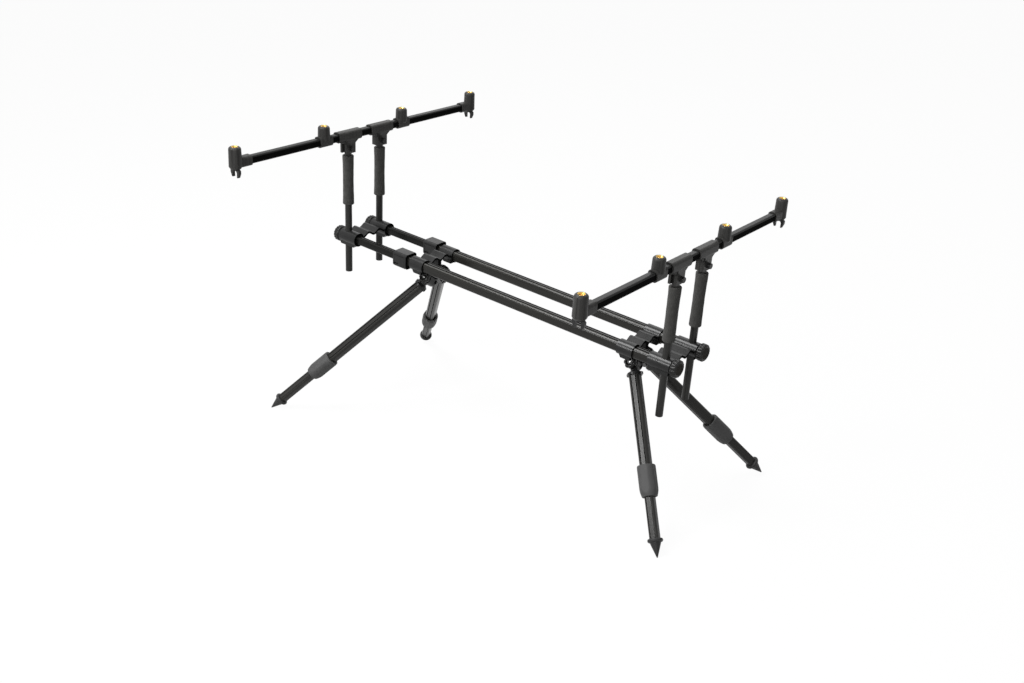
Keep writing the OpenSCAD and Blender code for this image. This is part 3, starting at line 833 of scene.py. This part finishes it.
@dataclass
class Leg:
    """One leg: knuckle, upper tube, twist collar, lower tube, spike and hinge knob."""

    end: End
    side: Side
    lower_corner: float = 3.5
    collar: CollarSizes = CollarSizes()
    spike: SpikeSizes = SpikeSizes()
    knob: HingeKnobSizes = HingeKnobSizes()

    @property
    def name(self) -> str:
        """Corner name of this leg."""
        return corner_name(self.end, self.side)

    def build(self, shop: Workshop) -> None:
        """Builds and dresses all pieces of the leg."""
        place = leg_place(self.end, self.side)
        tube = shop.finish(LEG_ALLOY, place, f"_{self.name}")
        for part, corner in (("upper_leg", LARGE_CORNER), ("lower_leg", self.lower_corner)):
            node = f"{self.name}_{part}"
            tubes = shop.softened(node, tube, 0.0, TUBE_SHARP_DEG)
            # Painted shade in the tubes' grooves
            shop.shade_grooves(tubes, TubeSection.of_node(place, node, corner))
        shop.softened(f"{self.name}_knuckle", shop.finish(PLASTIC))
        self._collar(shop, place)
        self._spike(shop, place)
        self._hinge_knob(shop, place)

    def _collar(self, shop: Workshop, place: Place) -> None:
        """Twist collar: a square with an exponent, cut by a turned outline that narrows at the foot end."""
        node, sizes = f"{self.name}_collar", self.collar
        low, high = place.span(node)
        start, length = low[0], high[0] - low[0]
        half = (high[1] - low[1]) / 2
        tube_low, tube_high = place.span(f"{self.name}_upper_leg")
        inner_low, inner_high = place.span(f"{self.name}_lower_leg")
        mouth = (tube_high[1] - tube_low[1]) / 2 * sizes.mouth[0] + sizes.mouth[1]
        throat = (inner_high[1] - inner_low[1]) / 2 * sizes.throat[0] + sizes.throat[1]
        round_r = half * sizes.round_share
        step_at = tube_high[0] - start + sizes.stop_gap
        outer = resampled(rounded_profile([
            (mouth, 0.0, 0.0), (round_r - sizes.rim_step, 0.0, sizes.rim), (round_r, sizes.lead, 1.0),
            (round_r, length - sizes.taper, 5.0), (throat + sizes.foot_wall, length, 1.2),
            (throat, length, 0.0),
        ], 7), sizes.row_step)
        turn = angles(sizes.columns)
        power = sizes.square_power
        square = half / (np.abs(np.cos(turn)) ** power + np.abs(np.sin(turn)) ** power) ** (1 / power)
        shape = (len(outer), len(turn))
        radius = soft_min(np.broadcast_to(outer[:, :1], shape), np.broadcast_to(square, shape), sizes.blend)
        radius = np.maximum(radius, throat)
        bore = np.array([[throat, step_at], [mouth, step_at]])
        swell = np.concatenate([radius - outer[:, :1], np.zeros((len(bore), len(turn)))])
        grid = turned_grid(np.concatenate([outer, bore]), sizes.columns, swell)
        axis = place.moved((start, 0, 0)).turned(X_UP)
        shop.skin(node, "sleeve", axis.world(grid), COLLAR_PLASTIC, ring=True)

    def _spike(self, shop: Workshop, place: Place) -> None:
        """Spike: a turned flange with a dished face and a cone that ends in a small ball."""
        node, sizes = f"{self.name}_spike", self.spike
        low, high = place.span(node)
        tube_end = place.span(f"{self.name}_lower_leg")[1][0]
        plug = low[0] - tube_end
        flange = (high[1] - low[1]) / 2
        tip = high[0] - tube_end
        profile = rounded_profile([
            (0.0, plug, 0.0), (sizes.plug_r, plug, 0.4), (sizes.plug_r, 0.0, 0.0), (flange - 1.0, 0.0, 1.4),
            (flange, 2.2, 1.6), (flange - 0.8, sizes.flange_top, 1.2), (10.0, 5.4, 1.0),
            (8.7, sizes.flange_top, 0.8), (sizes.cone_r, sizes.cone_start, 0.8),
            (sizes.tip_r, tip - sizes.tip_r, 0.9), (0.5, tip - 0.05, 0.3), (0.0, tip, 0.0),
        ])
        axis = place.moved((tube_end, 0, 0)).turned(X_UP)
        shop.skin(node, "turned", axis.world(turned_grid(profile, sizes.columns)), SPIKE_PLASTIC)

    def _hinge_knob(self, shop: Workshop, place: Place) -> None:
        """Hinge knob: a turned button whose radius falls between its lobes, on a stud with a bright end."""
        node, sizes = f"{self.name}_leg_knob", self.knob
        low, high = place.span(node)
        base, top, face = sizes.base, high[2], high[2] - sizes.dish
        rim = max(high[0], -low[0], high[1], -low[1])
        profile = rounded_profile([
            (0.0, low[2], 0.0), (sizes.stud_r, low[2], 0.4), (sizes.stud_r, base, 0.0),
            (rim - 3.0, base, 1.0), (rim, base + 2.6, 1.6), (rim, top - 2.2, 2.0), (rim - 3.2, top, 1.6),
            (rim - sizes.dish_rim, top - 0.6, 0.8), (rim - 6.0, face, 0.8), (0.0, face, 0.0),
        ])
        turn = angles(sizes.columns)
        reach = np.clip((profile[:, :1] - (rim - sizes.dish_rim)) / sizes.lobe_reach, 0.0, 1.0)
        hollow = sizes.lobe_depth * (0.5 - 0.5 * np.cos(sizes.lobes * turn)) ** sizes.lobe_power
        grid = turned_grid(profile, sizes.columns, -reach * hollow)
        shop.skin(node, "button", place.world(grid), KNOB_PLASTIC)
        end = rounded_profile([
            (0.0, face - 0.6, 0.0), (sizes.stud_end_r, face - 0.6, 0.0), (sizes.stud_end_r, face + 0.6, 0.5),
            (1.6, face + 1.0, 0.5), (0.0, face + 1.2, 0.0),
        ], 4)
        grid = turned_grid(end, sizes.stud_columns)
        shop.skin(node, "stud_end", place.world(grid), BRIGHT_STEEL, replace=False)


@dataclass
class EndKnob:
    """A fluted clamp knob on the outer end of an end bracket."""

    end: End
    side: Side
    flutes: int = 16
    flute_columns: int = 12
    flute_depth: float = 0.9
    flute_power: float = 1.5
    flute_start: float = 2.0
    drum: float = 12.0
    stud_r: float = 4.0
    face_dish: float = 1.2

    def build(self, shop: Workshop) -> None:
        """Builds the knob: a turned drum whose rim radius has a rounded wave, on a plain stud."""
        name = corner_name(self.end, self.side)
        node = f"{name}_end_knob"
        rows = X_UP if self.end is End.FRONT else X_DOWN
        place = Place(point_of(f"{name}_post_knob_turn"), POD.axes).turned(rows)
        low, high = place.span(node)
        rim = (high[1] - low[1]) / 2
        top, base, face = high[2], high[2] - self.drum, high[2] - self.face_dish
        start = base + self.flute_start
        profile = rounded_profile([
            (0.0, low[2], 0.0), (self.stud_r, low[2], 0.3), (self.stud_r, base, 0.0), (rim - 2.6, base, 0.6),
            (rim - 0.4, start, 0.8), (rim, base + 3.0, 0.8), (rim, top - 1.8, 1.4), (rim - 2.2, top, 1.0),
            (rim - 3.6, top, 0.6), (rim - 4.4, face, 0.6), (rim - 9.0, face, 1.0), (0.0, face + 0.5, 0.0),
        ])
        turn = angles(self.flutes * self.flute_columns)
        rise = np.clip((profile[:, 1:] - start) / 1.5, 0.0, 1.0)
        reach = np.clip((profile[:, :1] - (rim - 3.0)) / 2.0, 0.0, 1.0) * rise
        wave = np.clip(0.5 - 0.5 * np.cos(self.flutes * turn), 0.0, 1.0) ** self.flute_power
        grid = turned_grid(profile, len(turn), -self.flute_depth * reach * wave)
        piece = shop.skin(node, "drum", place.world(grid), KNOB_PLASTIC)
        shop.finish_end_faces(piece, KNOB_FACE)


@dataclass
class Insert:
    """A brass insert with a real helical thread in its bore."""

    core_r: float = 4.05
    thread_depth: float = 0.55
    thread_pitch: float = 1.27
    thread_fade: float = 2.0
    thread_rows: int = 120
    chamfer: float = 0.9
    floor: float = 2.0
    columns: int = 56

    def grid(self, place: Place, outer_r: float, low: float, high: float) -> np.ndarray:
        """Closed skin of the insert: outside, chamfered mouth, threaded bore and floor.

        The bore's radius is the core radius plus a rounded wave of height over pitch minus angle over a turn.

        Args:
            place: Frame with z along the bore.
            outer_r: Outer radius in millimetres.
            low: Height of its lower end.
            high: Height of its mouth.

        Returns:
            Grid of points in metres.
        """
        floor = low + self.floor
        shell = rounded_profile([
            (0.0, low, 0.0), (outer_r, low, 0.4), (outer_r, high, 0.5),
            (self.core_r + self.chamfer, high, 0.25), (self.core_r + 0.1, high - self.chamfer, 0.0),
        ], 4)
        depth = np.linspace(high - 1.0, floor, self.thread_rows)
        bore = np.stack([np.full_like(depth, self.core_r), depth], 1)
        base = np.array([[0.0, floor]])
        turn = angles(self.columns)
        wave = 0.5 - 0.5 * np.cos(TURN * (depth[:, None] / self.thread_pitch - turn[None, :] / TURN))
        fade = np.clip((depth[:, None] - floor) / self.thread_fade, 0.0, 1.0)
        swell = np.concatenate([
            np.zeros((len(shell), len(turn))), self.thread_depth * wave * fade, np.zeros((1, len(turn))),
        ])
        return place.world(turned_grid(np.concatenate([shell, bore, base]), self.columns, swell))


@dataclass
class Goalpost:
    """A buzz bar on two uprights, with its tees, end heads, grips and inserts."""

    end: End
    grip_columns: int = 72
    grip_step: float = 1.5
    grip_round: float = 2.6
    grip_waist: float = 0.7
    grip_bore: float = 6.05
    grip_ripple: float = 0.12
    ripple_lobes: int = 3
    ripple_rates: Pair = (0.11, 0.23)
    post_edge: float = 0.3
    screw_edge: float = 0.35

    def build(self, shop: Workshop) -> None:
        """Builds and dresses all pieces of the goalpost."""
        across = POD.turned(((0, 1, 0), (-1, 0, 0), (0, 0, 1)))
        plastic = shop.finish(HEAD_PLASTIC, UPRIGHT)
        rows = (
            ("bar", 0.0, TUBE_SHARP_DEG, shop.finish(BAR_ALLOY, across)),
            ("posts", self.post_edge, SHARP_DEG, shop.finish(ROUND_ALLOY, UPRIGHT)),
            ("tees", MOULDED_EDGE, SHARP_DEG, plastic),
            ("end_heads", MOULDED_EDGE, TUBE_SHARP_DEG, plastic),
            ("screws", self.screw_edge, SHARP_DEG, shop.finish(STEEL_FINISH)),
        )
        for part, edge, sharp_deg, material in rows:
            piece = shop.softened(f"{self.end.value}_{part}", material, edge, sharp_deg)
            # Painted shade on the bar's faces that look along the rails
            if part == "bar":
                shop.finish_end_faces(piece)
        self._grips(shop)
        self._inserts(shop)

    @staticmethod
    def _pair(low: np.ndarray, high: np.ndarray) -> Tuple[float, List[Place]]:
        """Radius, and a frame on each axis, of two upright round pieces that fill a box side by side."""
        radius = (high[0] - low[0]) / 2
        offset = (high[1] - low[1]) / 2 - radius
        return radius, [POD.moved(((low[0] + high[0]) / 2, side.sign * offset, 0)) for side in Side]

    def _grips(self, shop: Workshop) -> None:
        """Foam grips: a turned skin with rounded ends and a waist, closed along the upright."""
        node = f"{self.end.value}_grips"
        low, high = POD.span(node)
        bore = self.grip_bore
        radius, places = self._pair(low, high)
        outer = resampled(rounded_profile([
            (bore, low[2], 0.0), (radius, low[2], self.grip_round), (radius, high[2], self.grip_round - 0.8),
            (bore, high[2], 0.0),
        ], 9), self.grip_step)
        middle, half = (low[2] + high[2]) / 2, (high[2] - low[2]) / 2
        dip = self.grip_waist * (1 - ((outer[:, 1:] - middle) / half) ** 2)
        on_side = np.clip((outer[:, :1] - bore) / (radius - bore), 0.0, 1.0)
        turn = angles(self.grip_columns)
        twist, swing = (outer[:, 1:] * rate for rate in self.ripple_rates)
        ripple = self.grip_ripple * np.sin(self.ripple_lobes * turn + twist) * np.sin(swing)
        swell = on_side * (ripple - dip)
        grid = turned_grid(outer, self.grip_columns, swell)
        sheets = [(place.world(grid), True, True) for place in places]
        piece = shop.surface(f"{node}_foam", sheets, FOAM_SHARP_DEG)
        shop.fit(piece, node, shop.finish(FOAM_FINISH))

    def _inserts(self, shop: Workshop) -> None:
        """Brass inserts of the two end heads."""
        node = f"{self.end.value}_end_inserts"
        low, high = POD.span(node)
        radius, places = self._pair(low, high)
        sheets = [(Insert().grid(place, radius, low[2], high[2]), False, True) for place in places]
        shop.fit(shop.surface(f"{node}_threaded", sheets), node, shop.finish(BRASS_FINISH))


@dataclass
class RodHead:
    """A sliding head on a buzz bar, with its brass insert."""

    end: End
    side: Side

    def build(self, shop: Workshop) -> None:
        """Rounds the head's edges and builds its threaded insert."""
        name = corner_name(self.end, self.side)
        plastic = shop.finish(HEAD_PLASTIC, UPRIGHT)
        shop.softened(f"{name}_head", plastic, MOULDED_EDGE, TUBE_SHARP_DEG)
        node = f"{name}_insert"
        low, high = POD.span(node)
        place = POD.moved(((low[0] + high[0]) / 2, (low[1] + high[1]) / 2, 0))
        grid = Insert().grid(place, (high[0] - low[0]) / 2, low[2], high[2])
        shop.skin(node, "threaded", grid, BRASS_FINISH)


@dataclass(frozen=True)
class Lamp:
    """A square area lamp: its place, the point that it faces and its side in metres, and its watts."""

    name: str
    at: Triple
    target: Triple
    size: float
    watts: float

    def build(self) -> None:
        """Adds the lamp to the scene."""
        data = bpy.data.lights.new(self.name, "AREA")
        data.size = self.size
        data.energy = self.watts
        lamp = linked(self.name, data)
        lamp.location = self.at
        lamp.rotation_euler = (Vector(self.target) - Vector(self.at)).to_track_quat("-Z", "Y").to_euler()


LAMPS = (
    Lamp("key_panel", (-0.75, -0.55, 2.45), (0.0, 0.0, 0.15), 0.9, 62.0),
    Lamp("front_panel", (-0.64, -1.86, 1.45), (0.25, -0.15, 0.15), 0.5, 24.0),
    Lamp("fill_panel", (0.9, -2.0, 1.3), (0.1, 0.0, 0.2), 1.4, 22.0),
    Lamp("back_panel", (-1.2, 2.0, 2.3), (0.0, 0.0, 0.2), 1.8, 14.0),
)


@dataclass
class Studio:
    """Floor, light and camera."""

    camera_at: Triple = (1.1443, -1.37, 0.9789)
    right: Triple = (0.80893, 0.58722, 0.02854)
    down: Triple = (0.26138, -0.31574, -0.91213)
    forward: Triple = (-0.52661, 0.74531, -0.4089)
    lens: float = 40.902
    sensor: float = 36.0
    shift: Pair = (-0.0859, 0.0)
    clip: Pair = (0.05, 60.0)
    world_light: float = 0.16
    world_seen: float = 1.0
    floor_half: float = 9.0
    floor_white: float = 0.86
    floor_bounce: float = 0.40
    floor_glow: float = 0.96
    floor_rough: float = 0.9
    floor_specular: float = 0.1

    def build(self) -> None:
        """Builds the studio."""
        self._floor()
        self._world()
        for lamp in LAMPS:
            lamp.build()
        self._camera()
        bpy.context.scene.view_settings.view_transform = "Standard"

    @staticmethod
    def _math(tree: NodeTree, operation: str) -> object:
        """Adds a math node."""
        node = tree.nodes.new("ShaderNodeMath")
        node.operation = operation
        return node

    def _seen_rays(self, tree: NodeTree) -> object:
        """Output that is 1 for camera, glossy and transmission rays, and 0 for the rays that carry light."""
        path = tree.nodes.new("ShaderNodeLightPath")
        first, second = self._math(tree, "MAXIMUM"), self._math(tree, "MAXIMUM")
        wire(tree,
             (path.outputs["Is Camera Ray"], first.inputs[0]),
             (path.outputs["Is Glossy Ray"], first.inputs[1]),
             (path.outputs["Is Transmission Ray"], second.inputs[1]),
             (first.outputs["Value"], second.inputs[0]))
        return second.outputs["Value"]

    def _floor(self) -> None:
        """Pale floor that shows white to the camera and keeps a soft shadow."""
        half = self.floor_half
        mesh = bpy.data.meshes.new("studio_floor")
        corners = [(-half, -half, 0), (half, -half, 0), (half, half, 0), (-half, half, 0)]
        mesh.from_pydata(corners, [], [(0, 1, 2, 3)])
        floor = linked("studio_floor", mesh)
        made = bpy.data.materials.new("studio_white")
        made.use_nodes = True
        tree = made.node_tree
        shader = tree.nodes["Principled BSDF"]
        set_inputs(shader, {"Roughness": self.floor_rough, "Specular IOR Level": self.floor_specular})
        glow = tree.nodes.new("ShaderNodeEmission")
        set_inputs(glow, {"Color": (1, 1, 1, 1)})
        seen = self._seen_rays(tree)
        tone = ramp_node(tree, (self.floor_bounce,) * 3, (self.floor_white,) * 3, (0.0, 1.0))
        share = self._math(tree, "MULTIPLY")
        share.inputs[1].default_value = self.floor_glow
        mix = tree.nodes.new("ShaderNodeMixShader")
        wire(tree,
             (seen, tone.inputs["Fac"]), (tone.outputs["Color"], shader.inputs["Base Color"]),
             (seen, share.inputs[0]), (share.outputs["Value"], mix.inputs["Fac"]),
             (shader.outputs["BSDF"], mix.inputs[1]), (glow.outputs["Emission"], mix.inputs[2]),
             (mix.outputs["Shader"], tree.nodes["Material Output"].inputs["Surface"]))
        floor.data.materials.append(made)

    def _world(self) -> None:
        """White to the camera and to reflections, soft grey as light."""
        world = bpy.data.worlds.new("studio_world")
        bpy.context.scene.world = world
        world.use_nodes = True
        tree = world.node_tree
        tree.nodes.clear()
        mix = tree.nodes.new("ShaderNodeMixShader")
        out = tree.nodes.new("ShaderNodeOutputWorld")
        wire(tree, (self._seen_rays(tree), mix.inputs["Fac"]), (mix.outputs["Shader"], out.inputs["Surface"]))
        for place, strength in ((1, self.world_light), (2, self.world_seen)):
            sky = tree.nodes.new("ShaderNodeBackground")
            set_inputs(sky, {"Color": (1, 1, 1, 1), "Strength": strength})
            wire(tree, (sky.outputs["Background"], mix.inputs[place]))

    def _camera(self) -> None:
        """Sets the camera where the photograph was taken from."""
        data = bpy.data.cameras.new("photo_camera")
        data.sensor_width = self.sensor
        data.lens = self.lens
        data.shift_x, data.shift_y = self.shift
        data.clip_start, data.clip_end = self.clip
        camera = linked("photo_camera", data)
        back = -np.asarray(self.forward)
        rows = np.stack([np.asarray(self.right), -np.asarray(self.down), back], 1)
        matrix = Matrix([list(row) for row in rows]).to_4x4()
        matrix.translation = Vector(self.camera_at)
        camera.matrix_world = matrix
        bpy.context.scene.camera = camera


def main() -> None:
    """Builds the studio and every sub-assembly in order."""
    logging.basicConfig(level=logging.INFO, format="%(message)s")
    Studio().build()
    shop = Workshop()
    Rails().dress(shop)
    Brackets().dress(shop)
    for end, side in CORNERS:
        Leg(end, side).build(shop)
        EndKnob(end, side).build(shop)
        RodHead(end, side).build(shop)
    for end in End:
        Goalpost(end).build(shop)


if __name__ == "__main__":
    main()
